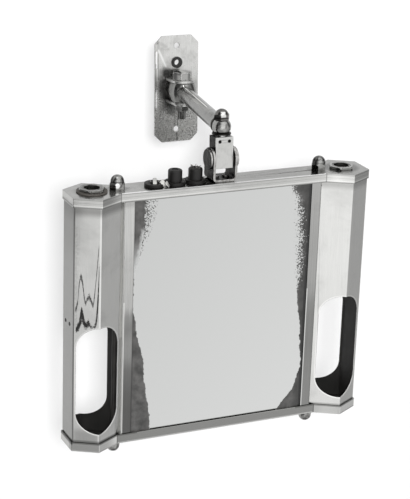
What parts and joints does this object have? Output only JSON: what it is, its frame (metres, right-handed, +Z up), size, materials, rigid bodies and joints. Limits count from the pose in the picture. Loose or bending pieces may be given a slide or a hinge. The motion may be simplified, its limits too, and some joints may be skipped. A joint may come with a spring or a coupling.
{
  "type": "adjustable bathroom mirror",
  "caption": "Wall-hung bathroom mirror between hexagonal lamp housings with long windows, tilting in a yoke on a swinging arm.",
  "frame": {"origin": "on the back face of the wall plate, level with the arm and on the plate's middle line", "axes": "+Z up, +Y into the wall, +X to the right of someone who faces the mirror"},
  "size_m": [0.34, 0.2382, 0.4137],
  "materials": {
    "plated_sheet": "nickel plate, polished and worn",
    "worn_plate": "worn plate with dull patches",
    "plated_fittings": "nickel plate, handled",
    "dark_plated_brass": "plate worn dark",
    "steel": "dull steel",
    "blackened_screw": "blackened",
    "silvered_glass": "silvered, foxed at the sides",
    "hardboard": "bare board",
    "vulcanised_fibre": "matt fibre",
    "black_bakelite": "dull moulding",
    "black_rubber": "matt",
    "bare_brass": "bare",
    "porcelain": "unglazed white",
    "lamp_glass": "opal"
  },
  "bodies": {
    "wall_bracket": {"wall_plate": "worn_plate", "bracket_ear_top": "worn_plate", "bracket_ear_bottom": "worn_plate", "cable_grommet": "black_rubber", "wall_bolt": "steel", "wall_bolt_washer": "steel", "wall_bolt_nut": "steel"},
    "arm": {"wall_knuckle": "plated_fittings", "arm_tube": "plated_fittings", "arm_collar": "plated_fittings", "arm_ball": "plated_fittings"},
    "swivel": {"swivel_block": "dark_plated_brass", "block_front_plate": "plated_fittings", "block_screws": "blackened_screw", "swivel_stud": "plated_fittings", "swivel_washers": "dark_plated_brass", "dome_nut": "plated_fittings"},
    "head": {"tilt_yoke": "dark_plated_brass", "tilt_pin": "plated_fittings", "tilt_pin_nut": "plated_fittings", "friction_washers": "vulcanised_fibre", "yoke_screws": "steel", "yoke_screw_nuts": "steel", "yoke_stiffener": "steel", "top_tray": "plated_sheet", "bottom_tray": "plated_sheet", "lamp_housing_left": "plated_sheet", "lamp_housing_right": "plated_sheet", "side_channel_left": "plated_sheet", "side_channel_right": "plated_sheet", "mirror_glass": "silvered_glass", "backing_board": "hardboard", "glass_battens": "hardboard", "back_panel": "steel", "tie_rods": "steel", "cap_nuts_top": "plated_fittings", "cap_nuts_bottom": "plated_fittings", "lamp_nipples": "dark_plated_brass", "nipple_nuts": "plated_fittings", "fibre_washer": "vulcanised_fibre", "lamp_holders": "porcelain", "lamp_caps": "bare_brass", "lamp_bulbs": "lamp_glass", "cable_bushes": "black_bakelite", "open_bush": "black_bakelite", "bush_ferrule": "bare_brass", "cable_stubs": "black_rubber", "terminal_block": "porcelain"}
  },
  "joints": [
    {"name": "arm_swing", "type": "hinge", "parent": "wall_bracket", "child": "arm", "pos_m": [0, -0.0195, 0], "axis": [0, 0, 1], "range_deg": [-64, 86]},
    {"name": "head_swivel", "type": "hinge", "parent": "arm", "child": "swivel", "pos_m": [-0.03664, -0.20797, 0], "axis": [0, 0, 1], "range_deg": [-75, 75]},
    {"name": "head_tilt", "type": "hinge", "parent": "swivel", "child": "head", "pos_m": [-0.03664, -0.20797, -0.0336], "axis": [1, 0, 0], "range_deg": [-28, 22]}
  ]
}
